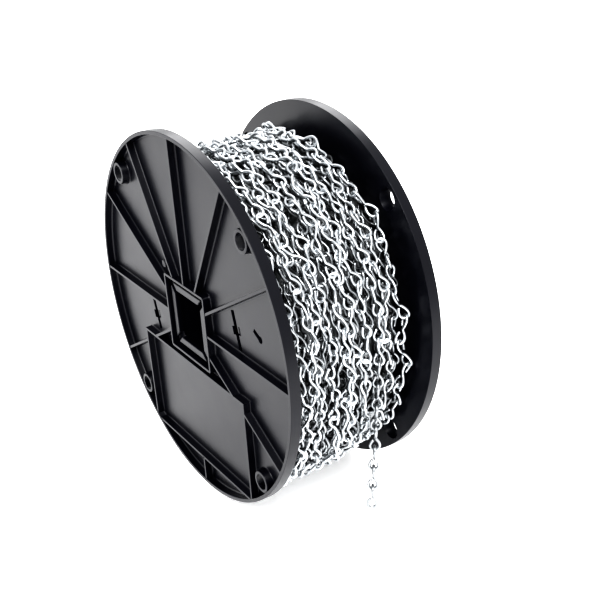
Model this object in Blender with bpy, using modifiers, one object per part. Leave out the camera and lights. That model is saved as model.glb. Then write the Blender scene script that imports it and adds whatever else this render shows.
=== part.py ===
"""A reel of single jack chain: two moulded flanges on a core tube, the wound chain and its free end.

Metres, +Z up. The reel stands on its two rims with its axis along X, and the origin is on the floor
under its middle. The flange at -X is the left one, and the free end of the chain hangs at the front, -Y.
Flange features are laid out on the flange's own face: x to the right and y up as the outside is seen,
z outwards, with angles counted from x towards y.
"""

import math

import bmesh
import bpy
from mathutils import Matrix, Vector

# Driving dimensions
FLANGE_RADIUS = 0.095
FLANGE_FACETS = 96
REEL_WIDTH = 0.084
FLANGE_THICKNESS = 0.0055
WEB_THICKNESS = 0.0014
WIRE = 0.0016
LINK_PITCH = 0.0125
LOOP_WIDTH = 0.0062
GAP = 0.0003

# The face pattern is turned by one and a half rim facets, which leaves a flat of the rim on the floor
FACET_ANGLE = 2 * math.pi / FLANGE_FACETS
PATTERN_ROLL = 1.5 * FACET_ANGLE
AXIS_HEIGHT = FLANGE_RADIUS * math.cos(FACET_ANGLE / 2)

# Flange
LIP_WIDTH = 0.0015
EDGE_BREAK = 0.0004
BASE_FILLET = 0.0007
WALL = 0.0013
WALL_TOP = FLANGE_THICKNESS - 0.0002
RIB_ANGLES = (0, 30, 60, 90, 120, 150, 180, 210, 330)
RIB_OUTER_END = FLANGE_RADIUS - LIP_WIDTH / 2
HUB_SIDE = 0.0411
HUB_CORNER = 0.0016
LEDGE_DEPTH = 0.0015
CORNER_RELIEF_WIDTH = 0.0030
CORNER_RELIEF_REACH = 0.0258
ARBOR_SIDE = 0.0259
SLEEVE_WALL = 0.0016
PANEL_LEFT = -0.0534
PANEL_RIGHT = 0.0512
PANEL_TOP = -0.0232
PANEL_BOTTOM = -0.0801
PANEL_RIBS = (210, 330)
UNDER_RIB_X = 0.0010
BOSS_ANGLES = (45, 135, 225, 315)
BOSS_CIRCLE = 0.0874
BOSS_RADII = (0.0066, 0.0054)
BOSS_HOLE_RADII = (0.0056, 0.0039)
PIN_SPOT = (-0.0242, 0.0232)
PIN_RADIUS = 0.0023
PIN_TOP = 0.0032
PIN_CROWN = 0.0008
ROUND_FACETS = 20

# Core tube, and the slots in the webs that its tabs clip into
CORE_RADIUS = 0.0465
CORE_WALL = 0.0020
CORE_FACETS = 48
CORE_LENGTH = REEL_WIDTH - 2 * FLANGE_THICKNESS - 2 * GAP
TAB_ANGLES = (14.5, 196)
TAB_WIDTH = 0.0040
TAB_THICKNESS = 0.0016
TAB_STANDS_OUT = 0.0003
TAB_HOLE = (0.0044, 0.0050)
SLOT_LENGTHS = (0.0200, 0.0165)
SLOT_WIDTH = 0.0016
START_SLIT = (0.0629, 0.0165)
START_SLIT_TURN = -28
START_SLIT_LENGTH = 0.0084
START_SLIT_WIDTH = 0.0014
START_HOLE_RADIUS = 0.0012

# Wound chain
WINDING_RADIUS = 0.0810
WINDING_BORE = CORE_RADIUS + 2 * GAP
STRANDS = 11
LAYERS = 7
STRAND_GROOVE = 0.0065
LAYER_GROOVE = 0.0010
LINKS_ROUND = round(2 * math.pi * WINDING_RADIUS / LINK_PITCH)

# Free end, hanging plumb in front of the valley between two strands
HANG_LINKS = 7
LINK_SLACK = 0.0004
HANG_TURN = math.radians(-33)
HANG_X = 2.5 * CORE_LENGTH / STRANDS
HANG_Y = -WINDING_RADIUS - GAP
HANG_CLEARANCE = 0.0050
LOOP_POINTS = 12
LOOP_START = math.radians(58)
LOOP_END = math.radians(330)
TEARDROP_WIDEST = 4 / (3 * math.sqrt(3))


def clear_scene():
    for thing in list(bpy.data.objects):
        bpy.data.objects.remove(thing, do_unlink=True)


def new_collection(name):
    collection = bpy.data.collections.new(name)
    bpy.context.scene.collection.children.link(collection)
    return collection


def plastic(name, colour, roughness, metallic=0.0):
    material = bpy.data.materials.new(name)
    material.use_nodes = True
    shader = material.node_tree.nodes["Principled BSDF"]
    shader.inputs["Base Color"].default_value = (*colour, 1.0)
    shader.inputs["Roughness"].default_value = roughness
    shader.inputs["Metallic"].default_value = metallic
    return material


def mesh_object(name, mesh, collection, material=None):
    thing = bpy.data.objects.new(name, mesh)
    collection.objects.link(thing)
    if material:
        mesh.materials.clear()
        mesh.materials.append(material)
    return thing


def hide_as_guide(thing):
    thing.display_type = "WIRE"
    thing.hide_render = True


def box(name, low, high, collection, turn=0.0, centre=(0.0, 0.0)):
    """A box between two corners, turned about z and then moved to a centre on the flange's face."""
    bm = bmesh.new()
    bmesh.ops.create_cube(bm, size=1.0)
    low, high = Vector(low), Vector(high)
    size = Matrix.Diagonal((*(high - low), 1.0))
    moved = Matrix.Translation((*centre, 0.0)) @ Matrix.Rotation(turn, 4, "Z")
    bm.transform(moved @ Matrix.Translation((low + high) / 2) @ size)
    mesh = bpy.data.meshes.new(name)
    bm.to_mesh(mesh)
    bm.free()
    thing = mesh_object(name, mesh, collection)
    hide_as_guide(thing)
    return thing


def round_bar(name, centre, sections, collection, facets=ROUND_FACETS):
    """An upright round solid on the flange's face, given as (radius, z) sections from the bottom up."""
    bm = bmesh.new()
    rings = []
    for radius, z in sections:
        ring = []
        for number in range(facets):
            angle = 2 * math.pi * number / facets
            place = (centre[0] + radius * math.cos(angle), centre[1] + radius * math.sin(angle), z)
            ring.append(bm.verts.new(place))
        rings.append(ring)
    bm.faces.new(reversed(rings[0]))
    bm.faces.new(rings[-1])
    for lower, upper in zip(rings, rings[1:]):
        for here in range(facets):
            after = (here + 1) % facets
            bm.faces.new((lower[here], lower[after], upper[after], upper[here]))
    mesh = bpy.data.meshes.new(name)
    bm.to_mesh(mesh)
    bm.free()
    thing = mesh_object(name, mesh, collection)
    hide_as_guide(thing)
    return thing


def turned(name, profile, facets, collection):
    """A solid turned about Z from a profile of (radius, z) that runs down its outer side."""
    mesh = bpy.data.meshes.new(name)
    edges = [(i, i + 1) for i in range(len(profile) - 1)]
    mesh.from_pydata([(radius, 0.0, z) for radius, z in profile], edges, [])
    thing = mesh_object(name, mesh, collection)
    screw = thing.modifiers.new("turn", "SCREW")
    screw.steps = facets
    screw.render_steps = facets
    screw.use_merge_vertices = True
    screw.merge_threshold = 0.00001
    return thing


def combine(thing, operation, pieces):
    boolean = thing.modifiers.new(operation.lower(), "BOOLEAN")
    boolean.operation = operation
    boolean.operand_type = "COLLECTION"
    boolean.collection = pieces
    boolean.solver = "EXACT"


def baked_mesh(thing, name):
    """The evaluated mesh of an object, as new mesh data."""
    graph = bpy.context.evaluated_depsgraph_get()
    graph.update()
    mesh = bpy.data.meshes.new_from_object(thing.evaluated_get(graph))
    mesh.name = name
    return mesh


def on_face(angle_deg, radius):
    angle = math.radians(angle_deg)
    return (radius * math.cos(angle), radius * math.sin(angle))


def rib_stretches(angle_deg):
    """The radii a rib runs between. The two ribs that meet the panel stop at its walls."""
    start = HUB_SIDE / 2 - WALL / 2
    if angle_deg not in PANEL_RIBS:
        return [(start, RIB_OUTER_END)]
    across, upwards = on_face(angle_deg, 1.0)
    side = PANEL_RIGHT - WALL / 2 if across > 0 else PANEL_LEFT + WALL / 2
    return [(start, (PANEL_TOP - WALL / 2) / upwards), (side / across, RIB_OUTER_END)]


def rim_reach(offset):
    """How far a wall at this offset from the middle runs before it meets the rim."""
    return math.sqrt(RIB_OUTER_END ** 2 - offset ** 2)


def add_ribs(raised):
    """Radial ribs from the hub to the rim."""
    root = WEB_THICKNESS / 2
    for angle in RIB_ANGLES:
        for number, (inner, outer) in enumerate(rib_stretches(angle)):
            box(f"rib_{angle}_{number}", (inner, -WALL / 2, root), (outer, WALL / 2, WALL_TOP),
                raised, math.radians(angle))


def add_panel_frame(raised):
    """Walls round the plain panel for a label, cut off below by the rim, and the rib under them."""
    root = WEB_THICKNESS / 2
    left, right, top, bottom = PANEL_LEFT, PANEL_RIGHT, PANEL_TOP, PANEL_BOTTOM
    left_foot, right_foot = rim_reach(left + WALL / 2), rim_reach(right - WALL / 2)
    sideways = rim_reach(bottom + WALL / 2)
    box("panel_top", (left, top - WALL, root), (right, top, WALL_TOP), raised)
    box("panel_bottom", (-sideways, bottom, root), (sideways, bottom + WALL, WALL_TOP), raised)
    box("panel_left", (left, -left_foot, root), (left + WALL, top, WALL_TOP), raised)
    box("panel_right", (right - WALL, -right_foot, root), (right, top, WALL_TOP), raised)
    box("rib_under_panel", (UNDER_RIB_X - WALL / 2, -RIB_OUTER_END, root),
        (UNDER_RIB_X + WALL / 2, bottom + WALL / 2, WALL_TOP), raised)


def add_hub(raised):
    """The square hub with its raised edge, and the sleeve that runs inside the core to the middle."""
    half = HUB_SIDE / 2
    sleeve_half = ARBOR_SIDE / 2 + SLEEVE_WALL
    sleeve_end = FLANGE_THICKNESS - REEL_WIDTH / 2 + GAP / 2
    hub = box("hub", (-half, -half, WEB_THICKNESS / 2), (half, half, FLANGE_THICKNESS), raised)
    corners = hub.modifiers.new("corners", "BEVEL")
    corners.width = HUB_CORNER
    corners.segments = 2
    corners.limit_method = "WEIGHT"
    weights = hub.data.attributes.new("bevel_weight_edge", "FLOAT", "EDGE")
    for edge in hub.data.edges:
        low, high = (hub.data.vertices[i].co for i in edge.vertices)
        weights.data[edge.index].value = 1.0 if abs(low.z - high.z) > WALL else 0.0
    box("sleeve", (-sleeve_half, -sleeve_half, sleeve_end), (sleeve_half, sleeve_half, WEB_THICKNESS), raised)


def add_bosses(raised, cuts):
    """Four hollow bosses near the rim with tapered holes, and a small crowned pin beside the hub."""
    wide, narrow = BOSS_HOLE_RADII
    taper = (wide - narrow) / 2
    for angle in BOSS_ANGLES:
        centre = on_face(angle, BOSS_CIRCLE)
        outside = ((BOSS_RADII[0], WEB_THICKNESS / 2), (BOSS_RADII[1], WALL_TOP))
        round_bar(f"boss_{angle}", centre, outside, raised)
        inside = ((wide + taper, -WALL_TOP / 2), (narrow - taper, WALL_TOP * 3 / 2))
        round_bar(f"boss_hole_{angle}", centre, inside, cuts)
    shoulder = (PIN_RADIUS, PIN_TOP - PIN_CROWN)
    crowned = ((PIN_RADIUS, WEB_THICKNESS / 2), shoulder, (PIN_RADIUS - 2 * PIN_CROWN, PIN_TOP))
    round_bar("pin", PIN_SPOT, crowned, raised, facets=12)


def add_cuts(cuts):
    """The square arbor hole, the hub's recess, the core's slots and the slit for the chain's start."""
    half = ARBOR_SIDE / 2
    recess = HUB_SIDE / 2 - WALL
    past = REEL_WIDTH
    box("arbor_hole", (-half, -half, -past), (half, half, past), cuts)
    box("hub_recess", (-recess, -recess, FLANGE_THICKNESS - LEDGE_DEPTH), (recess, recess, past), cuts)
    for corner in range(4):
        box(f"corner_relief_{corner}", (half, -CORNER_RELIEF_WIDTH / 2, WEB_THICKNESS),
            (CORNER_RELIEF_REACH, CORNER_RELIEF_WIDTH / 2, past), cuts, math.radians(45 + 90 * corner))
    below, above = -WEB_THICKNESS, 2 * WEB_THICKNESS
    middle = CORE_RADIUS - CORE_WALL / 2
    for angle, length in zip(TAB_ANGLES, SLOT_LENGTHS):
        turn = math.radians(angle)
        box(f"core_slot_{angle}", (middle - SLOT_WIDTH / 2, -length / 2, below),
            (middle + SLOT_WIDTH / 2, length / 2, above), cuts, turn)
        box(f"tab_hole_{angle}", (middle - TAB_HOLE[0] / 2, -TAB_HOLE[1] / 2, below),
            (middle + TAB_HOLE[0] / 2, TAB_HOLE[1] / 2, above), cuts, turn)
    slit_turn = math.radians(START_SLIT_TURN)
    box("start_slit", (-START_SLIT_LENGTH / 2, -START_SLIT_WIDTH / 2, below),
        (START_SLIT_LENGTH / 2, START_SLIT_WIDTH / 2, above), cuts, slit_turn, START_SLIT)
    slit_end = Matrix.Rotation(slit_turn, 2) @ Vector((START_SLIT_LENGTH / 2, 0.0)) + Vector(START_SLIT)
    slit_hole = ((START_HOLE_RADIUS, below), (START_HOLE_RADIUS, above))
    round_bar("start_hole", slit_end, slit_hole, cuts, facets=12)


def flange_mesh(guides):
    """One flange in its own frame: inner face at z = 0, rim plane at z = FLANGE_THICKNESS."""
    raised = bpy.data.collections.new("flange_raised")
    cuts = bpy.data.collections.new("flange_cuts")
    guides.children.link(raised)
    guides.children.link(cuts)
    inside = FLANGE_RADIUS - LIP_WIDTH
    top = FLANGE_THICKNESS
    profile = [
        (0.0, WEB_THICKNESS),
        (inside - BASE_FILLET, WEB_THICKNESS),
        (inside, WEB_THICKNESS + BASE_FILLET),
        (inside, top - EDGE_BREAK),
        (inside + EDGE_BREAK, top),
        (FLANGE_RADIUS - EDGE_BREAK, top),
        (FLANGE_RADIUS, top - EDGE_BREAK),
        (FLANGE_RADIUS, EDGE_BREAK),
        (FLANGE_RADIUS - EDGE_BREAK, 0.0),
        (0.0, 0.0),
    ]
    blank = turned("flange_blank", profile, FLANGE_FACETS, guides)
    hide_as_guide(blank)
    add_ribs(raised)
    add_panel_frame(raised)
    add_hub(raised)
    add_bosses(raised, cuts)
    add_cuts(cuts)
    combine(blank, "UNION", raised)
    combine(blank, "DIFFERENCE", cuts)
    return baked_mesh(blank, "flange")


def core_mesh(guides):
    """The core tube along Z, centred, with two clip tabs at each end."""
    tabs = bpy.data.collections.new("core_tabs")
    guides.children.link(tabs)
    half = CORE_LENGTH / 2
    inner = CORE_RADIUS - CORE_WALL
    profile = [(inner, half), (CORE_RADIUS, half), (CORE_RADIUS, -half), (inner, -half), (inner, half)]
    blank = turned("core_blank", profile, CORE_FACETS, guides)
    hide_as_guide(blank)
    middle = CORE_RADIUS - CORE_WALL / 2
    tip = half + GAP + WEB_THICKNESS + TAB_STANDS_OUT
    root = half - 2 * CORE_WALL
    for angle in TAB_ANGLES:
        for side, turn in ((1, math.radians(angle)), (-1, math.radians(180 - angle))):
            low, high = sorted((side * root, side * tip))
            box(f"tab_{angle}_{side}", (middle - TAB_THICKNESS / 2, -TAB_WIDTH / 2, low),
                (middle + TAB_THICKNESS / 2, TAB_WIDTH / 2, high), tabs, turn)
    combine(blank, "UNION", tabs)
    return baked_mesh(blank, "core_tube")


def winding_profile():
    """The section of the wound chain: a groove between strands outside, one between layers on each end."""
    half = CORE_LENGTH / 2
    strand = 2 * half / STRANDS
    layer = (WINDING_RADIUS - WINDING_BORE) / LAYERS
    top = [(WINDING_BORE, half)]
    for number in range(LAYERS):
        inner = WINDING_BORE + number * layer
        top.append((inner + layer / 2, half))
        top.append((inner + layer, half - LAYER_GROOVE))
    top.pop()
    outer = []
    for number in range(STRANDS):
        centre = half - (number + 0.5) * strand
        outer.append((WINDING_RADIUS, centre))
        outer.append((WINDING_RADIUS - STRAND_GROOVE, centre - strand / 2))
    outer.pop()
    bottom = [(radius, -z) for radius, z in reversed(top)]
    return top + outer + bottom + [top[0]]


def link_path():
    """The centre line of one link: a teardrop loop above, a quarter turn at the waist, a teardrop below."""
    half_width = (LOOP_WIDTH - WIRE) / 2
    loop_height = (LINK_PITCH + LINK_SLACK + WIRE) / 2
    upper = []
    for number in range(LOOP_POINTS):
        angle = LOOP_START + (LOOP_END - LOOP_START) * number / (LOOP_POINTS - 1)
        across = half_width * math.sin(angle) * math.sin(angle / 2) / TEARDROP_WIDEST
        upper.append(Vector((0.0, across, loop_height * math.sin(angle / 2) ** 2)))
    lower = [Vector((-point.y, 0.0, -point.z)) for point in reversed(upper)]
    return upper + [Vector((0.0, 0.0, 0.0))] + lower


def link_curve():
    curve = bpy.data.curves.new("chain_link", "CURVE")
    curve.dimensions = "3D"
    curve.bevel_depth = WIRE / 2
    curve.bevel_resolution = 2
    curve.use_fill_caps = True
    path = link_path()
    spline = curve.splines.new("POLY")
    spline.points.add(len(path) - 1)
    for point, place in zip(spline.points, path):
        point.co = (*place, 1.0)
    return curve


def make_reel(parts, guides):
    """Flanges, core and winding, which share one axis and the turn of the face pattern."""
    black = plastic("black_polypropylene", (0.010, 0.010, 0.011), 0.34)
    zinc = plastic("zinc_plated_steel", (0.66, 0.67, 0.68), 0.26, metallic=1.0)
    axis = bpy.data.objects.new("reel_axis", None)
    parts.objects.link(axis)
    axis.location = (0.0, 0.0, AXIS_HEIGHT)
    axis.rotation_euler = (-PATTERN_ROLL, 0.0, 0.0)
    flange = flange_mesh(guides)
    flange.materials.clear()
    flange.materials.append(black)
    inner_face = REEL_WIDTH / 2 - FLANGE_THICKNESS
    for name, side in (("flange_left", -1), ("flange_right", 1)):
        thing = mesh_object(name, flange, parts)
        thing.parent = axis
        thing.location = (side * inner_face, 0.0, 0.0)
        thing.rotation_euler = (math.pi / 2, 0.0, side * math.pi / 2)
    core = mesh_object("core_tube", core_mesh(guides), parts, black)
    core.parent = axis
    core.rotation_euler = (math.pi / 2, 0.0, -math.pi / 2)
    winding = turned("wound_chain", winding_profile(), LINKS_ROUND, parts)
    winding.data.materials.append(zinc)
    winding.parent = axis
    winding.rotation_euler = (math.pi / 2, 0.0, -math.pi / 2)
    return zinc


def make_free_end(parts, zinc):
    """Links that hang plumb from the front of the winding, the lowest clear of the floor."""
    curve = link_curve()
    curve.materials.append(zinc)
    lowest = HANG_CLEARANCE + (LINK_PITCH + LINK_SLACK + 2 * WIRE) / 2
    for number in range(HANG_LINKS):
        link = bpy.data.objects.new(f"hanging_link_{number + 1}", curve)
        parts.objects.link(link)
        link.location = (HANG_X, HANG_Y, lowest + (HANG_LINKS - 1 - number) * LINK_PITCH)
        link.rotation_euler = (0.0, 0.0, HANG_TURN)


def main():
    clear_scene()
    parts = new_collection("chain_reel")
    guides = new_collection("guides")
    zinc = make_reel(parts, guides)
    make_free_end(parts, zinc)
    for thing in list(guides.all_objects):
        bpy.data.objects.remove(thing, do_unlink=True)


main()
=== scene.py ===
import math

import bmesh
import bpy
import numpy as np
from mathutils import Euler, Matrix, Vector


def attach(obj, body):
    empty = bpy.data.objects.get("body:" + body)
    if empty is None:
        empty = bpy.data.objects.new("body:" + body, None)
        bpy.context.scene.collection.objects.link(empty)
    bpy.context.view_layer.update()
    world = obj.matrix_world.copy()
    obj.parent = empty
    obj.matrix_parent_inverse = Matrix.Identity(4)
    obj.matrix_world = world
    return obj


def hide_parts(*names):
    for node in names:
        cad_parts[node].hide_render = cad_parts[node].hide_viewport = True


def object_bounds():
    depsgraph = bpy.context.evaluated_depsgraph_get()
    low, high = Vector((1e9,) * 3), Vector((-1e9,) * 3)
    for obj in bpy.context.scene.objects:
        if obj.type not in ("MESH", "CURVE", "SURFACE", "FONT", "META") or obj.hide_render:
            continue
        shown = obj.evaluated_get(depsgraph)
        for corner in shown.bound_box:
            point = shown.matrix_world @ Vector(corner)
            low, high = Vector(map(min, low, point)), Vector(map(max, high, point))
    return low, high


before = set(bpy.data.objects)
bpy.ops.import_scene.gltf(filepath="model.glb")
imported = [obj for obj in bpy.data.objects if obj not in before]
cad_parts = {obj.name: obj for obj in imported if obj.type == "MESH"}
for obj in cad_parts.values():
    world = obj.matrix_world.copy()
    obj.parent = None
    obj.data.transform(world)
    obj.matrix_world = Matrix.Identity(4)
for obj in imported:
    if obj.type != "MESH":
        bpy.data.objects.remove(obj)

cadLow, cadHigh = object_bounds()
mm = 0.001
print("frame loaded")


# Small helpers

def toLinear(hexColour):
    channels = [int(hexColour[place:place + 2], 16) / 255 for place in (1, 3, 5)]
    linear = [c / 12.92 if c <= 0.04045 else ((c + 0.055) / 1.055) ** 2.4 for c in channels]
    return (*linear, 1.0)


def addNode(tree, kind, values=None, links=None, **settings):
    node = tree.nodes.new(kind)
    for name, value in settings.items():
        setattr(node, name, value)
    for socket, value in (values or {}).items():
        node.inputs[socket].default_value = value
    for socket, source in (links or {}).items():
        tree.links.new(source, node.inputs[socket])
    return node


def newMaterial(name):
    material = bpy.data.materials.new(name)
    material.use_nodes = True
    tree = material.node_tree
    tree.nodes.clear()
    output = tree.nodes.new("ShaderNodeOutputMaterial")
    shader = tree.nodes.new("ShaderNodeBsdfPrincipled")
    tree.links.new(shader.outputs["BSDF"], output.inputs["Surface"])
    place = tree.nodes.new("ShaderNodeTexCoord")
    return material, tree, shader, place.outputs["Object"]


def addPiece(name, mesh, material, standsFor=()):
    piece = bpy.data.objects.new(name, mesh)
    bpy.context.scene.collection.objects.link(piece)
    mesh.materials.clear()
    mesh.materials.append(material)
    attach(piece, "root")
    if standsFor:
        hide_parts(*standsFor)
    return piece


def meshFrom(bm, name):
    mesh = bpy.data.meshes.new(name)
    bm.to_mesh(mesh)
    bm.free()
    return mesh


# Materials

plasticLook = {
    "deep": "#050610",            # the darker patches of the black
    "worn": "#0a0b17",            # the greyer patches
    "roughLow": 0.27,
    "roughHigh": 0.35,
    "grain": 0.5 * mm,            # the mould texture, drawn coarser than it is so that it shows
    "grainDepth": 0.004 * mm,
    "ripple": 14 * mm,            # slow waves of a thin moulded wall
    "rippleDepth": 0.03 * mm,
}


def blackPolypropylene(look):
    # Moulded black polypropylene, semi-gloss: the eye gets near-black with soft grey reflections
    # that waver a little over the thin walls, and a fine grain in the highlights.
    material, tree, shader, place = newMaterial("black_polypropylene_semi_gloss")
    patches = addNode(tree, "ShaderNodeTexNoise", {"Scale": 1 / look["ripple"], "Detail": 3.0},
                      {"Vector": place})
    tint = addNode(tree, "ShaderNodeMix", {6: toLinear(look["deep"]), 7: toLinear(look["worn"])},
                   {0: patches.outputs["Fac"]}, data_type="RGBA")
    rough = addNode(tree, "ShaderNodeMapRange", {"To Min": look["roughLow"], "To Max": look["roughHigh"]},
                    {"Value": patches.outputs["Fac"]})
    grain = addNode(tree, "ShaderNodeTexNoise", {"Scale": 1 / look["grain"], "Detail": 2.0},
                    {"Vector": place})
    ripple = addNode(tree, "ShaderNodeBump", {"Strength": 1.0, "Distance": look["rippleDepth"]},
                     {"Height": patches.outputs["Fac"]})
    bump = addNode(tree, "ShaderNodeBump", {"Strength": 1.0, "Distance": look["grainDepth"]},
                   {"Height": grain.outputs["Fac"], "Normal": ripple.outputs["Normal"]})
    tree.links.new(tint.outputs[2], shader.inputs["Base Color"])
    tree.links.new(rough.outputs["Result"], shader.inputs["Roughness"])
    tree.links.new(bump.outputs["Normal"], shader.inputs["Normal"])
    shader.inputs["IOR"].default_value = 1.49
    return material


zincLook = {
    "bright": "#dadcde",          # fresh plating
    "dull": "#babec1",            # where it has gone matt
    "patch": 4 * mm,              # size of those patches
    "roughLow": 0.25,
    "roughHigh": 0.38,
    "drawLines": 0.35 * mm,       # marks left by drawing the wire, drawn coarser than they are to show
    "drawDepth": 0.006 * mm,
    "paintedShade": 0.7,             # painted shade: how bright the second layer and the free end are drawn
    "paintedDeepShade": 0.35,             # darker painted shade, for the third layer and the body under it
}


def zincPlatedWire(look, name, shade=1.0):
    # Bright zinc-plated steel wire: the eye gets near-white metal with soft broken highlights,
    # slightly duller in patches, and greyer all over by the shade factor, which paints shade into it.
    material, tree, shader, place = newMaterial(name)
    patches = addNode(tree, "ShaderNodeTexNoise", {"Scale": 1 / look["patch"], "Detail": 3.0},
                      {"Vector": place})
    bright, dull = ([shade * c for c in toLinear(look[key])[:3]] + [1.0] for key in ("bright", "dull"))
    tint = addNode(tree, "ShaderNodeMix", {6: bright, 7: dull}, {0: patches.outputs["Fac"]},
                   data_type="RGBA")
    rough = addNode(tree, "ShaderNodeMapRange", {"To Min": look["roughLow"], "To Max": look["roughHigh"]},
                    {"Value": patches.outputs["Fac"]})
    marks = addNode(tree, "ShaderNodeTexNoise", {"Scale": 1 / look["drawLines"], "Detail": 2.0},
                    {"Vector": place})
    bump = addNode(tree, "ShaderNodeBump", {"Strength": 1.0, "Distance": look["drawDepth"]},
                   {"Height": marks.outputs["Fac"]})
    tree.links.new(tint.outputs[2], shader.inputs["Base Color"])
    tree.links.new(rough.outputs["Result"], shader.inputs["Roughness"])
    tree.links.new(bump.outputs["Normal"], shader.inputs["Normal"])
    shader.inputs["Metallic"].default_value = 1.0
    return material


black = blackPolypropylene(plasticLook)
zinc = zincPlatedWire(zincLook, "bright_zinc_plated_wire")
# Painted shade: the same wire drawn darker, for the second layer and the free end
zincInPaintedShade = zincPlatedWire(zincLook, "zinc_plated_wire_in_painted_shade", zincLook["paintedShade"])
# Darker painted shade: the same wire drawn darker still, for the third layer and the body under it
zincInPaintedDeepShade = zincPlatedWire(zincLook, "zinc_plated_wire_in_painted_deep_shade", zincLook["paintedDeepShade"])
print("materials made")


# Flanges

flangeShape = {
    "radius": 94.95 * mm,         # out to the flats of the CAD rim, so that it stays in its box
    "depth": 5.5 * mm,
    "web": 1.4 * mm,
    "lip": 1.9 * mm,
    "edgeBend": 0.2 * mm,         # rounding of the rim's edges
    "lipFoot": 1.0 * mm,          # fillet between the lip and the web
    "wall": 1.5 * mm,
    "wallTop": 5.3 * mm,
    "sharpestMitre": 0.3,         # cosine that keeps a mitre from growing too long
    "hub": 41.1 * mm,
    "hubCorner": 1.6 * mm,
    "hole": 25.9 * mm,            # square, for a 1 inch bar
    "ledge": 4.0 * mm,            # height of the ledge inside the hub's edge
    "ledgeRounding": 0.25 * mm,
    "hubGroove": 2.4 * mm,        # between that ledge and the edge
    "reliefWidth": 3.0 * mm,
    "sleeveEnd": -36.35 * mm,
    "sleeveWall": 1.6 * mm,
    "ribAngles": (0, 30, 60, 90, 120, 150, 180, 210, 330),
    "panelRibs": (210, 330),
    "panel": (-53.4 * mm, 51.2 * mm, -23.2 * mm, -80.1 * mm),   # left, right, top, bottom
    "panelDrop": 0.03 * mm,       # keeps the tops of its walls clear of the ribs' tops
    "underRib": 1.0 * mm,         # where the short rib under the panel stands
    "pin": (-24.2 * mm, 23.2 * mm, 2.3 * mm, 3.2 * mm),         # x, y, radius, height
    "pinDome": 0.8 * mm,
    "bossAngles": (45, 135, 225, 315),
    "bossCircle": 87.4 * mm,
    "bossRadii": (6.0 * mm, 5.6 * mm),                # at the foot and at the top
    "bossHole": (5.6 * mm, 3.9 * mm),                 # radii at the inner face and at the top
    "slots": ((14.5, 20.0 * mm), (196, 16.5 * mm)),   # angle and length of each
    "slotWidth": 2.8 * mm,
    "slotRadius": 45.5 * mm,
    "tabHole": (7.0 * mm, 4.2 * mm),
    "slit": (62.9 * mm, 16.5 * mm, 6.0 * mm, 2.3 * mm, -28),    # x, y, length, width, degrees
    "slitEnd": 1.8 * mm,          # radius of the round hole that it ends in
    "coreRadii": (44.5 * mm, 46.5 * mm),
    "coreGap": 0.3 * mm,
    "tab": (1.6 * mm, 4.0 * mm),  # thickness and width of each of the core's clips
    "tabSink": 0.9 * mm,          # how far the clips end below the web's face
    "tabRounding": 0.2 * mm,
    "roll": 5.625,                # degrees that the face pattern is turned
    "reelWidth": 84 * mm,
    "crease": 35,                 # degrees beyond which an edge stays sharp
}


def barProfile(shape, top):
    # Half the section of a wall, from its foot up: a flared foot, a slight draft, a rounded top
    half, web = shape["wall"] / 2, shape["web"]
    return [(half + 0.9 * mm, web - 0.1 * mm), (half + 0.75 * mm, web + 0.02 * mm),
            (half + 0.38 * mm, web + 0.12 * mm), (half + 0.14 * mm, web + 0.38 * mm),
            (half + 0.06 * mm, web + 0.9 * mm), (half - 0.02 * mm, top - 0.18 * mm),
            (half - 0.06 * mm, top - 0.05 * mm), (half - 0.16 * mm, top)]


def addSection(bm, centre, side, profile):
    # One cross-section of a wall: up its right side and down its left
    right = [(offset, z) for offset, z in profile]
    left = [(-offset, z) for offset, z in reversed(profile)]
    ring = []
    for offset, z in right + left:
        flat = Vector(centre) + Vector(side) * offset
        ring.append(bm.verts.new((flat.x, flat.y, z)))
    return ring


def joinRings(bm, first, second):
    count = len(first)
    for here in range(count):
        after = (here + 1) % count
        bm.faces.new((first[here], first[after], second[after], second[here]))


def addBar(bm, start, end, profile):
    start, end = Vector(start), Vector(end)
    along = (end - start).normalized()
    side = Vector((along.y, -along.x))
    first = addSection(bm, start, side, profile)
    last = addSection(bm, end, side, profile)
    joinRings(bm, first, last)
    bm.faces.new(list(reversed(first)))
    bm.faces.new(last)


def addWall(bm, shape, corners, profile, closed=True):
    # A wall that follows an outline, mitred at each of its corners
    points = [Vector(corner) for corner in corners]
    last = len(points) - 1
    rings = []
    for here, point in enumerate(points):
        inward = (point - points[here - 1]).normalized()
        onward = (points[(here + 1) % len(points)] - point).normalized()
        if not closed:
            inward = onward if here == 0 else inward
            onward = inward if here == last else onward
        along = (inward + onward).normalized()
        side = Vector((along.y, -along.x)) / max(shape["sharpestMitre"], along.dot(onward))
        rings.append(addSection(bm, point, side, profile))
    for here in range(len(rings) if closed else last):
        joinRings(bm, rings[here], rings[(here + 1) % len(rings)])
    if not closed:
        bm.faces.new(list(reversed(rings[0])))
        bm.faces.new(rings[last])


def addTurned(bm, centre, profile, steps):
    # A closed profile of (radius, z) turned about an upright axis
    rings = []
    for number in range(steps):
        angle = 2 * math.pi * number / steps
        c, s = math.cos(angle), math.sin(angle)
        rings.append([bm.verts.new((centre[0] + r * c, centre[1] + r * s, z)) for r, z in profile])
    for here in range(steps):
        joinRings(bm, rings[here], rings[(here + 1) % steps])


def addBlock(bm, outline, low, high, rounding):
    # An upright block on an outline, its top edges rounded
    bottom = [bm.verts.new((x, y, low)) for x, y in outline]
    top = [bm.verts.new((x, y, high)) for x, y in outline]
    joinRings(bm, bottom, top)
    bm.faces.new(list(reversed(bottom)))
    cap = bm.faces.new(top)
    if rounding:
        bmesh.ops.bevel(bm, geom=list(cap.edges), offset=rounding, segments=3, affect="EDGES",
                        clamp_overlap=True)


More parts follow.
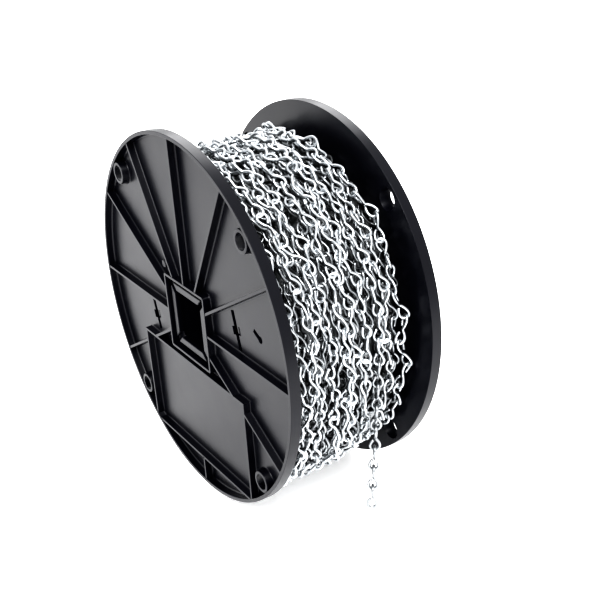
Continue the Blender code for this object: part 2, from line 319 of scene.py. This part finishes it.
def roundedSquare(half, corner, steps=5):
    points = []
    for turn in range(4):
        base = math.radians(90 * turn)
        inner = half - corner
        middle = Matrix.Rotation(base, 2) @ Vector((inner, inner))
        for step in range(steps):
            angle = base + math.radians(90) * step / (steps - 1)
            points.append(middle + corner * Vector((math.cos(angle), math.sin(angle))))
    return points


def turnedRectangle(centre, size, degrees):
    spin = Matrix.Rotation(math.radians(degrees), 2)
    half = Vector(size) / 2
    corners = ((-half.x, -half.y), (half.x, -half.y), (half.x, half.y), (-half.x, half.y))
    return [Vector(centre) + spin @ Vector(corner) for corner in corners]


def circleOutline(centre, radius, steps):
    angles = [2 * math.pi * number / steps for number in range(steps)]
    return [Vector(centre) + radius * Vector((math.cos(a), math.sin(a))) for a in angles]


def polar(degrees, radius):
    angle = math.radians(degrees)
    return Vector((radius * math.cos(angle), radius * math.sin(angle)))


def webProfile(shape):
    # The rim, from the inner face's edge round its lip and down to the web
    radius, depth, web = shape["radius"], shape["depth"], shape["web"]
    inside = radius - shape["lip"]
    profile = []
    bend = shape["edgeBend"]
    for centre, first in (((radius - bend, bend), -90), ((radius - bend, depth - bend), 0),
                          ((inside + bend, depth - bend), 90)):
        for step in range(4):
            angle = math.radians(first + 30 * step)
            profile.append((centre[0] + bend * math.cos(angle), centre[1] + bend * math.sin(angle)))
    foot = shape["lipFoot"]
    for step in range(5):
        angle = math.radians(-22.5 * step)
        profile.append((inside - 0.1 * mm - foot + foot * math.cos(angle),
                        web + foot + foot * math.sin(angle)))
    return profile


def webDisc(shape, steps=256):
    bm = bmesh.new()
    edge = webProfile(shape)
    rings = []
    for number in range(steps):
        c, s = math.cos(2 * math.pi * number / steps), math.sin(2 * math.pi * number / steps)
        rings.append([bm.verts.new((r * c, r * s, z)) for r, z in edge])
    for here in range(steps):
        after = (here + 1) % steps
        for row in range(len(edge) - 1):
            bm.faces.new((rings[here][row], rings[after][row], rings[after][row + 1], rings[here][row + 1]))
    bm.faces.new([rings[number][0] for number in reversed(range(steps))])
    bm.faces.new([rings[number][-1] for number in range(steps)])
    return bm


def cutter(shape):
    # Every opening through the web, in one mesh
    bm = bmesh.new()
    web = shape["web"]
    low, high = -web, 2 * web
    addBlock(bm, turnedRectangle((0, 0), (shape["hole"], shape["hole"]), 0), low, high, 0)
    wide, narrow = shape["bossHole"]
    slope = (wide - narrow) / shape["wallTop"]
    for angle in shape["bossAngles"]:
        centre = polar(angle, shape["bossCircle"])
        bottom = [bm.verts.new((*p, low)) for p in circleOutline(centre, wide - slope * low, 48)]
        top = [bm.verts.new((*p, high)) for p in circleOutline(centre, wide - slope * high, 48)]
        joinRings(bm, bottom, top)
        bm.faces.new(list(reversed(bottom)))
        bm.faces.new(top)
    for angle, length in shape["slots"]:
        middle = polar(angle, shape["slotRadius"])
        # One outline of twelve corners: a slot, and across its middle the wider opening for a clip
        slot = turnedRectangle((0, 0), (shape["slotWidth"], length), 0)
        tab = turnedRectangle((0, 0), shape["tabHole"], 0)
        outline = [slot[0], slot[1], Vector((slot[1].x, tab[1].y)), tab[1], tab[2],
                   Vector((slot[2].x, tab[2].y)), slot[2], slot[3], Vector((slot[3].x, tab[3].y)), tab[3],
                   tab[0], Vector((slot[0].x, tab[0].y))]
        spin = Matrix.Rotation(math.radians(angle), 2)
        addBlock(bm, [middle + spin @ point for point in outline], low, high, 0)
    x, y, length, width, degrees = shape["slit"]
    spin = Matrix.Rotation(math.radians(degrees), 2)
    slit = [Vector((-length / 2, -width / 2))]
    for step in range(9):
        angle = math.radians(-135 + 270 * step / 8)
        slit.append(Vector((length / 2, 0)) + shape["slitEnd"] * Vector((math.cos(angle), math.sin(angle))))
    slit.append(Vector((-length / 2, width / 2)))
    addBlock(bm, [Vector((x, y)) + spin @ point for point in slit], low, high, 0)
    bmesh.ops.recalc_face_normals(bm, faces=bm.faces)
    return bm


def cutWeb(shape):
    disc = bpy.data.objects.new("web", meshFrom(webDisc(shape), "web"))
    tool = bpy.data.objects.new("cutter", meshFrom(cutter(shape), "cutter"))
    for thing in (disc, tool):
        bpy.context.scene.collection.objects.link(thing)
    boolean = disc.modifiers.new("openings", "BOOLEAN")
    boolean.operation = "DIFFERENCE"
    boolean.solver = "EXACT"
    boolean.object = tool
    graph = bpy.context.evaluated_depsgraph_get()
    graph.update()
    mesh = bpy.data.meshes.new_from_object(disc.evaluated_get(graph))
    for thing in (disc, tool):
        bpy.data.objects.remove(thing, do_unlink=True)
    return mesh


def addRibs(bm, shape):
    profile = barProfile(shape, shape["wallTop"])
    half = shape["wall"] / 2
    hubLine = shape["hub"] / 2 - half
    end = shape["radius"] - shape["lip"] / 2
    left, right, top, bottom = shape["panel"]
    for angle in shape["ribAngles"]:
        across, upwards = polar(angle, 1.0)
        start = hubLine / max(abs(across), abs(upwards))
        stretches = [(start, end)]
        if angle in shape["panelRibs"]:
            side = right - half if across > 0 else left + half
            stretches = [(start, (top - half) / upwards), (side / across, end)]
        for inner, outer in stretches:
            addBar(bm, polar(angle, inner), polar(angle, outer), profile)


def addPanel(bm, shape):
    # The rim cuts off the frame's lower corners, so its lower wall is a bar of its own
    half = shape["wall"] / 2
    inwards = (half, -half, -half, half)
    left, right, top, bottom = (line + shift for line, shift in zip(shape["panel"], inwards))
    reach = shape["radius"] - shape["lip"] / 2
    leftFoot, rightFoot, sideways = (math.sqrt(reach ** 2 - line ** 2) for line in (left, right, bottom))
    profile = barProfile(shape, shape["wallTop"] - shape["panelDrop"])
    corners = [(left, -leftFoot), (left, top), (right, top), (right, -rightFoot)]
    addWall(bm, shape, corners, profile, closed=False)
    addBar(bm, (-sideways, bottom), (sideways, bottom), profile)
    addBar(bm, (shape["underRib"], bottom), (shape["underRib"], -reach), profile)


def addHub(bm, shape):
    half, wall = shape["hub"] / 2, shape["wall"]
    corners = roundedSquare(half - wall / 2, shape["hubCorner"] - wall / 2)
    addWall(bm, shape, corners, barProfile(shape, shape["depth"]))
    hole, recess = shape["hole"] / 2, half - wall - shape["hubGroove"]
    gap = shape["reliefWidth"] / math.sqrt(2)
    for turn in range(4):
        spin = Matrix.Rotation(math.radians(90 * turn), 2)
        strip = [(hole, -hole + gap), (recess, -recess + gap), (recess, recess - gap), (hole, hole - gap)]
        outline = [spin @ Vector(point) for point in strip]
        addBlock(bm, outline, shape["web"] / 2, shape["ledge"], shape["ledgeRounding"])
    outer = hole + shape["sleeveWall"]
    bottom, top = shape["sleeveEnd"], shape["web"]
    for low, high, size in ((bottom, top, outer), (top, bottom, hole)):
        square = turnedRectangle((0, 0), (2 * size, 2 * size), 0)
        first = [bm.verts.new((*p, low)) for p in square]
        last = [bm.verts.new((*p, high)) for p in square]
        joinRings(bm, first, last)


def addRounds(bm, shape):
    top, web = shape["wallTop"], shape["web"]
    base, crown = shape["bossRadii"]
    wide, narrow = shape["bossHole"]
    slope = (wide - narrow) / top
    for angle in shape["bossAngles"]:
        profile = [(wide - slope * web / 2, web / 2), (base + 0.7 * mm, web / 2), (base + 0.7 * mm, web),
                   (base + 0.25 * mm, web + 0.15 * mm), (base, web + 0.6 * mm), (crown, top - 0.3 * mm),
                   (crown - 0.1 * mm, top - 0.08 * mm), (crown - 0.3 * mm, top), (narrow + 0.2 * mm, top),
                   (narrow + 0.04 * mm, top - 0.2 * mm)]
        addTurned(bm, polar(angle, shape["bossCircle"]), profile, steps=64)
    x, y, radius, height = shape["pin"]
    dome = shape["pinDome"]
    middle = 0.05 * mm   # a pinhole, in place of faces that meet in a point
    profile = [(middle, web / 2), (radius + 0.5 * mm, web / 2), (radius + 0.5 * mm, web),
               (radius + 0.1 * mm, web + 0.35 * mm)]
    for step in range(7):
        lift = math.radians(15 * step)
        profile.append((radius - dome * (1 - math.cos(lift)), height - dome * (1 - math.sin(lift))))
    profile.append((middle, height))
    addTurned(bm, (x, y), profile, steps=40)


def flangeMesh(shape):
    bm = bmesh.new()
    bm.from_mesh(cutWeb(shape))
    addRibs(bm, shape)
    addPanel(bm, shape)
    addHub(bm, shape)
    addRounds(bm, shape)
    return meshFrom(bm, "flange")


def evenShading(thing, sharpDegrees):
    # Keeps flat faces flat-looking beside their rounded edges
    thing.data.shade_smooth()
    thing.data.set_sharp_from_angle(angle=math.radians(sharpDegrees))
    weights = thing.modifiers.new("even_normals", "WEIGHTED_NORMAL")
    weights.keep_sharp = True
    weights.weight = 100


def placeOnReel(mesh, shape, side):
    inner = shape["reelWidth"] / 2 - shape["depth"]
    rolled = Matrix.Rotation(math.radians(-shape["roll"]), 4, "X")
    stand = Matrix.Translation((0, 0, shape["radius"])) @ rolled
    upright = Euler((math.pi / 2, 0, side * math.pi / 2)).to_matrix().to_4x4()
    face = Matrix.Translation((side * inner, 0, 0)) @ upright
    mesh.transform(stand @ face)


master = flangeMesh(flangeShape)
for side, node in ((-1, "flange_left"), (1, "flange_right")):
    copy = master.copy()
    placeOnReel(copy, flangeShape, side)
    flange = addPiece(f"{node}_moulding", copy, black, (node,))
    evenShading(flange, flangeShape["crease"])
print("flanges made", len(master.polygons))


# Core tube

def tubeMesh(shape):
    # The tube under the chain, and the clips at its ends that show in the web's slots
    inner, outer = shape["coreRadii"]
    half = shape["reelWidth"] / 2 - shape["depth"] - shape["coreGap"]
    bm = bmesh.new()
    addTurned(bm, (0, 0), [(inner, half), (outer, half), (outer, -half), (inner, -half)], steps=96)
    lay = Matrix.Translation((0, 0, shape["radius"])) @ Matrix.Rotation(math.pi / 2, 4, "Y")
    bmesh.ops.transform(bm, matrix=lay, verts=bm.verts)
    for side in (-1, 1):
        clips = bmesh.new()
        for angle, length in shape["slots"]:
            outline = turnedRectangle(polar(angle, shape["slotRadius"]), shape["tab"], angle)
            top = shape["web"] - shape["tabSink"]
            addBlock(clips, outline, -4 * shape["web"], top, shape["tabRounding"])
        mesh = meshFrom(clips, "clips")
        placeOnReel(mesh, shape, side)
        bm.from_mesh(mesh)
        bpy.data.meshes.remove(mesh)
    bmesh.ops.recalc_face_normals(bm, faces=bm.faces)
    return meshFrom(bm, "core")


core = addPiece("core_tube_moulding", tubeMesh(flangeShape), black, ("core_tube",))
evenShading(core, flangeShape["crease"])
print("core made")


# Chain

chainShape = {
    "wire": 1.5 * mm,
    "pitch": 12.5 * mm,           # from one link to the next
    "loopWidth": 6.2 * mm,
    "axisHeight": flangeShape["radius"],
    "strandPitch": 6.45 * mm,     # from one turn of the winding to the next
    "outermost": 33.0 * mm,       # how far along X the turns reach
    "innerReach": 32.0 * mm,      # and how far those of the layers below
    "layers": (81.0 * mm, 77.6 * mm, 73.6 * mm),      # radii, from the outermost
    "heap": 1.5 * mm,             # how much higher the turns lie against the flanges
    "sag": 9.3 * mm,              # how far the loose turns hang out below, beside the near flange
    "edgePower": 4,               # how close to a flange the heap starts, and to the far one the sag ends
    "sagSpread": 3.7,             # how soon below the middle the hanging starts
    "lift": 0.9 * mm,             # how far they wander in and out
    "drift": 2.0 * mm,            # how far they wander sideways
    "shake": 0.9 * mm,            # how far each joint lies off its turn sideways, and half as far outwards
    "zigzag": 1.2 * mm,           # how far slack links lean to and fro
    "lie": 45.0,                  # degrees at which both loops of a link lie on what is under it
    "twist": 30.0,                # degrees that the chain rolls slowly about its own line
    "jumble": 32.0,               # degrees that each link rolls on its own
    "turnSlack": 0.3 * mm,        # added to a turn's radius when its links are counted
    "settleOver": 0.5,            # radians in which the first links drop from the free end to the layer
    "lastAngle": -2.1,            # radians at which the stretch beyond the free end stops
    "lastDip": 3.5 * mm,          # how far it sinks in there
    "dipOver": 0.25,              # and over how many radians
    "innerStart": 0.4,            # radians at which the layers below start
    "tailTop": (15.9 * mm, -81.3 * mm, 94.3 * mm),    # where the free end leaves the winding
    "tailCount": 7,
    "tailRoll": 57,               # degrees, which turns its loops to the front left
    "tailJumble": 2.0,            # degrees
    "nearSeeds": (11, 21, 31),    # of the line, the roll and the jumble of each stretch
    "farSeeds": (12, 22, 32),
    "tailSeed": 41,
}
linkDetail = {"fine": (44, 8), "middling": (30, 6), "coarse": (26, 6)}   # points along a link, sides
waveSpeeds = (2.31, 5.17, 9.43, 15.9, 26.7)   # none is a multiple of another, so nothing repeats


def linkLine(shape, samples):
    # The bent wire of one link: a teardrop loop, a quarter turn at the waist, another teardrop
    halfWidth = (shape["loopWidth"] - shape["wire"]) / 2
    height = (shape["pitch"] + shape["wire"]) / 2
    widest = 4 / (3 * math.sqrt(3))   # the highest value of sin(turn) sin(turn / 2)
    loopStart, loopEnd, loopPoints = 50, 336, 90
    turn = np.radians(np.linspace(loopStart, loopEnd, loopPoints))
    across = halfWidth * np.sin(turn) * np.sin(turn / 2) / widest
    up = height * np.sin(turn / 2) ** 2
    upper = np.column_stack([np.zeros_like(across), across, up])
    lower = np.column_stack([-across, np.zeros_like(across), -up])[::-1]
    line = np.vstack([upper, [[0, 0, 0]], lower])
    smoothings = 6
    for _ in range(smoothings):
        line[1:-1] = (line[:-2] + 2 * line[1:-1] + line[2:]) / 4
    length = np.concatenate([[0], np.cumsum(np.linalg.norm(np.diff(line, axis=0), axis=1))])
    even = np.linspace(0, length[-1], samples)
    return np.column_stack([np.interp(even, length, line[:, axis]) for axis in range(3)])


def linkTemplate(shape, samples, sides):
    # Points and four-sided faces of one link along local z
    line = linkLine(shape, samples)
    tangent = np.gradient(line, axis=0)
    tangent /= np.linalg.norm(tangent, axis=1)[:, None]
    normal = np.array([1.0, 0.0, 0.0])
    rings = []
    for point, along in zip(line, tangent):
        normal = normal - along * normal.dot(along)
        normal /= np.linalg.norm(normal)
        other = np.cross(along, normal)
        angles = 2 * np.pi * (np.arange(sides) + 0.5) / sides
        rings.append(point + shape["wire"] / 2 * (np.outer(np.cos(angles), normal)
                                                  + np.outer(np.sin(angles), other)))
    points = np.vstack(rings)
    faces = []
    for row in range(samples - 1):
        for here in range(sides):
            after = (here + 1) % sides
            first = row * sides
            faces.append((first + here, first + after, first + sides + after, first + sides + here))
    last = (samples - 1) * sides
    for step in range((sides - 2) // 2):
        a, b, c, d = step, step + 1, sides - 2 - step, sides - 1 - step
        faces.append((d, c, b, a))
        faces.append((last + a, last + b, last + c, last + d))
    return points, np.array(faces)


def chainMesh(name, template, centres, rolled, along, stretch):
    # Many links in one mesh: each is the template turned to its own axes
    points, faces = template
    count = len(centres)
    across = np.cross(along, rolled)
    placed = (centres[:, None, :] + points[None, :, 0:1] * rolled[:, None, :]
              + points[None, :, 1:2] * across[:, None, :]
              + points[None, :, 2:3] * (along * stretch[:, None])[:, None, :])
    joined = (faces[None] + (np.arange(count) * len(points))[:, None, None]).reshape(-1, 4)
    mesh = bpy.data.meshes.new(name)
    mesh.vertices.add(count * len(points))
    mesh.vertices.foreach_set("co", placed.astype(np.float32).ravel())
    mesh.loops.add(joined.size)
    mesh.loops.foreach_set("vertex_index", joined.astype(np.int32).ravel())
    mesh.polygons.add(len(joined))
    mesh.polygons.foreach_set("loop_start", np.arange(0, joined.size, 4, dtype=np.int32))
    mesh.update(calc_edges=True)
    mesh.shade_smooth()
    return mesh


def waver(angle, seed, size):
    # A slow wandering value that doesn't repeat from one turn to the next
    draw = np.random.default_rng(seed)
    value = np.zeros_like(angle)
    for speed in waveSpeeds:
        value += np.sin(speed * angle + draw.uniform(0, 2 * np.pi)) / math.sqrt(speed)
    return size * value


def windingLine(shape, radius, firstAngle, lastAngle, xAt, seed):
    # Contact points between links along one winding: angle 0 is at the front, and it grows over the top
    count = int((lastAngle - firstAngle) * (radius + shape["turnSlack"]) / shape["pitch"]) + 1
    angle = firstAngle + np.arange(count) * shape["pitch"] / radius
    level = radius + waver(angle, seed, shape["lift"])
    x = xAt(angle) + waver(angle, seed + 1, shape["drift"])
    draw = np.random.default_rng(seed + 2)
    level = level + draw.normal(0, 0.5 * shape["shake"], count)
    x = x + draw.normal(0, shape["shake"], count) + shape["zigzag"] * (-1.0) ** np.arange(count)
    x = np.clip(x, -shape["outermost"], shape["outermost"])
    level = level + shape["heap"] * (x / shape["outermost"]) ** shape["edgePower"]
    hang = shape["sag"] * (1 - (0.5 + 0.5 * x / shape["outermost"]) ** shape["edgePower"])
    return angle, level + hang * np.tanh(shape["sagSpread"] * np.clip(-np.sin(angle), 0, 1) ** 2), x


def pointsOn(shape, angle, level, x):
    return np.column_stack([x, -level * np.cos(angle), shape["axisHeight"] + level * np.sin(angle)])


def linksAlong(shape, points, outward, roll, seed, jitter):
    # Places a link between each two contact points, rolled about the chain's own line
    draw = np.random.default_rng(seed)
    step = np.diff(points, axis=0)
    length = np.linalg.norm(step, axis=1)
    along = step / length[:, None]
    centres = (points[1:] + points[:-1]) / 2
    outward = outward[:-1] - along * np.sum(outward[:-1] * along, axis=1)[:, None]
    outward /= np.linalg.norm(outward, axis=1)[:, None]
    beside = np.cross(along, outward)
    turned = np.radians(roll[:-1] + draw.normal(0, jitter, len(centres)))
    rolled = outward * np.cos(turned)[:, None] + beside * np.sin(turned)[:, None]
    return centres, rolled, along, length / shape["pitch"]


def layerLinks(shape, angle, level, x, roll, seed):
    outward = np.column_stack([np.zeros_like(angle), -np.cos(angle), np.sin(angle)])
    return linksAlong(shape, pointsOn(shape, angle, level, x), outward, roll, seed, shape["jumble"])


def outerLayer(shape):
    # The last layer: one stretch from the free end to the near flange, and one beyond the free end
    turnWidth = shape["strandPitch"] / (2 * np.pi)
    lineSeed, rollSeed, jumbleSeed = shape["nearSeeds"]
    startX, startY, startZ = shape["tailTop"]
    radius = shape["layers"][0]

    def xAt(angle):
        return startX - turnWidth * angle

    toNear = (startX + shape["outermost"]) / turnWidth
    toFar = (startX - shape["outermost"]) / turnWidth
    start = math.asin((startZ - shape["axisHeight"]) / -startY)
    angle, level, x = windingLine(shape, radius, start, toNear, xAt, lineSeed)
    settle = np.exp(-(angle - start) / shape["settleOver"])
    level = level * (1 - settle) - startY * settle
    x = x * (1 - settle) + startX * settle
    rolling = shape["lie"] + waver(angle, rollSeed, shape["twist"])
    roll = shape["tailRoll"] * settle + rolling * (1 - settle)
    first = layerLinks(shape, angle, level, x, roll, jumbleSeed)
    lineSeed, rollSeed, jumbleSeed = shape["farSeeds"]
    angle, level, x = windingLine(shape, radius, toFar, shape["lastAngle"], xAt, lineSeed)
    level = level - shape["lastDip"] * np.exp(-(angle[-1] - angle) / shape["dipOver"])
    roll = shape["lie"] + waver(angle, rollSeed, shape["twist"])
    return first, layerLinks(shape, angle, level, x, roll, jumbleSeed)


def fullLayer(shape, number, seed, direction):
    # A layer below, wound from one flange to the other
    turnWidth = shape["strandPitch"] / (2 * np.pi)
    reach = shape["innerReach"]
    radius = shape["layers"][number]

    def xAt(angle):
        return direction * (turnWidth * angle - reach)

    angle, level, x = windingLine(shape, radius, shape["innerStart"], 2 * reach / turnWidth, xAt, seed)
    roll = shape["lie"] + waver(angle, seed + 5, shape["twist"])
    return layerLinks(shape, angle, level, x, roll, seed + 9)


def tailLinks(shape):
    # The free end, from its lowest link up to the winding
    points = np.tile(shape["tailTop"], (shape["tailCount"] + 1, 1))
    points[:, 2] -= shape["pitch"] * np.arange(shape["tailCount"], -1, -1)
    outward = np.tile([0.0, -1.0, 0.0], (len(points), 1))
    roll = np.full(len(points), shape["tailRoll"])
    return linksAlong(shape, points, outward, roll, shape["tailSeed"], shape["tailJumble"])


underShape = {
    "half": 35.6 * mm,            # half the width between the flanges that it fills
    "bore": 48 * mm,
    "radius": 70.0 * mm,
    "turns": 11,
    "ridge": 0.9 * mm,            # height of each turn's back
    "pointsToTurn": 4,
}


def underMesh(shape, axisHeight):
    # What lies deeper than the layers that are built link by link: one turned body, a ridge to a turn
    half, bore, points = shape["half"], shape["bore"], shape["pointsToTurn"]
    count = shape["turns"] * points
    bm = bmesh.new()
    profile = [(bore, half)]
    for number in range(count + 1):
        z = half - 2 * half * number / count
        profile.append((shape["radius"] + shape["ridge"] * math.sin(math.pi * number / points) ** 2, z))
    profile.append((bore, -half))
    addTurned(bm, (0, 0), profile, steps=96)
    bmesh.ops.recalc_face_normals(bm, faces=bm.faces)
    mesh = meshFrom(bm, "under_layers")
    mesh.transform(Matrix.Translation((0, 0, axisHeight)) @ Matrix.Rotation(math.pi / 2, 4, "Y"))
    mesh.shade_smooth()
    return mesh


fine, middling, coarse = (linkTemplate(chainShape, *detail) for detail in linkDetail.values())
nearStretch, farStretch = outerLayer(chainShape)
half = len(nearStretch[0]) // 2   # so that each piece stays light
# The second layer is drawn in painted shade, and the third in darker painted shade, as they lie deeper
for name, template, links, material in (
        ("wound_chain_top_a", fine, [part[:half] for part in nearStretch], zinc),
        ("wound_chain_top_b", fine, [part[half:] for part in nearStretch], zinc),
        ("wound_chain_top_c", fine, farStretch, zinc),
        ("wound_chain_second", middling, fullLayer(chainShape, number=1, seed=51, direction=1), zincInPaintedShade),
        ("wound_chain_third", coarse, fullLayer(chainShape, number=2, seed=71, direction=-1), zincInPaintedDeepShade)):
    addPiece(name, chainMesh(name, template, *links), material, ("wound_chain",))
    print(name, len(links[0]), "links")
# The deeper chain is one body drawn in the darker painted shade, since it lies in shade
underLayers = underMesh(underShape, chainShape["axisHeight"])
addPiece("wound_chain_under_layers", underLayers, zincInPaintedDeepShade, ("wound_chain",))
hanging = [f"hanging_link_{number + 1}" for number in range(chainShape["tailCount"])]
freeEnd = chainMesh("free_end_links", fine, *tailLinks(chainShape))
# The free end is drawn in the painted-shade copy of the wire, greyer than the top layer
addPiece("free_end_links", freeEnd, zincInPaintedShade, hanging)
print("chain made")


# Floor, light and camera

studio = {
    "table": "#ffffff",
    "tableGlow": 0.25,            # the table is a white sheet lit softly from below
    "tableGrain": mm / 0.9,       # 1.1 mm: its matt texture, drawn coarser than it is to show
    "tableGrainDepth": 0.02 * mm,
    "tableRoughness": 0.9,
    "floorSize": 8.0,
    "worldStrength": 0.86,
    "keyStrength": 15.5,
    "keyFrom": (-0.5, -0.6, 1.3),
    "backStrength": 6.0,
    "backFrom": (0.7, 1.0, 0.9),
    "lampSize": 0.9,              # of each lamp's square
    "lampAim": (0.0, 0.0, 0.09),
    "sensor": 36.0,
    "lens": 62.45,
    "shift": (-0.0008, 0.1008),   # the photo is cut from the upper part of a taller frame
    "eye": (-0.2396, -0.4009, 0.3605),
    "gaze": (0.4628, 0.6994, -0.5446),
}


def tableMaterial(look):
    # Matt white acrylic of a shooting table, lit softly from below: the eye gets plain white with
    # hardly a shadow
    material, tree, shader, place = newMaterial("matt_white_acrylic_table")
    grain = addNode(tree, "ShaderNodeTexNoise", {"Scale": 1 / look["tableGrain"], "Detail": 2.0},
                    {"Vector": place})
    bump = addNode(tree, "ShaderNodeBump", {"Strength": 0.1, "Distance": look["tableGrainDepth"]},
                   {"Height": grain.outputs["Fac"]})
    tree.links.new(bump.outputs["Normal"], shader.inputs["Normal"])
    shader.inputs["Base Color"].default_value = toLinear(look["table"])
    shader.inputs["Roughness"].default_value = look["tableRoughness"]
    shader.inputs["Emission Color"].default_value = toLinear(look["table"])
    shader.inputs["Emission Strength"].default_value = look["tableGlow"]
    return material


def makeStudio(look):
    size = look["floorSize"] / 2
    mesh = bpy.data.meshes.new("studio_floor")
    corners = [(-size, -size, 0), (size, -size, 0), (size, size, 0), (-size, size, 0)]
    mesh.from_pydata(corners, [], [(0, 1, 2, 3)])
    floor = bpy.data.objects.new("studio_floor", mesh)
    floor.location.z = cadLow.z
    bpy.context.scene.collection.objects.link(floor)
    mesh.materials.append(tableMaterial(look))
    world = bpy.data.worlds.new("studio")
    bpy.context.scene.world = world
    world.use_nodes = True
    background = world.node_tree.nodes["Background"]
    background.inputs["Color"].default_value = (1.0, 1.0, 1.0, 1.0)
    background.inputs["Strength"].default_value = look["worldStrength"]
    for name in ("key", "back"):
        light = bpy.data.lights.new(name, "AREA")
        light.size = look["lampSize"]
        light.energy = look[f"{name}Strength"]
        lamp = bpy.data.objects.new(name, light)
        bpy.context.scene.collection.objects.link(lamp)
        place = Vector(look[f"{name}From"])
        lamp.location = place
        lamp.rotation_euler = (Vector(look["lampAim"]) - place).to_track_quat("-Z", "Y").to_euler()


def makeCamera(look):
    data = bpy.data.cameras.new("camera")
    data.sensor_width = look["sensor"]
    data.lens = look["lens"]
    data.shift_x, data.shift_y = look["shift"]
    camera = bpy.data.objects.new("camera", data)
    bpy.context.scene.collection.objects.link(camera)
    camera.location = look["eye"]
    camera.rotation_euler = Vector(look["gaze"]).to_track_quat("-Z", "Y").to_euler()
    bpy.context.scene.camera = camera
    bpy.context.scene.view_settings.view_transform = "Standard"
    bpy.context.scene.view_settings.look = "Very High Contrast"


makeStudio(studio)
makeCamera(studio)
print("studio made")
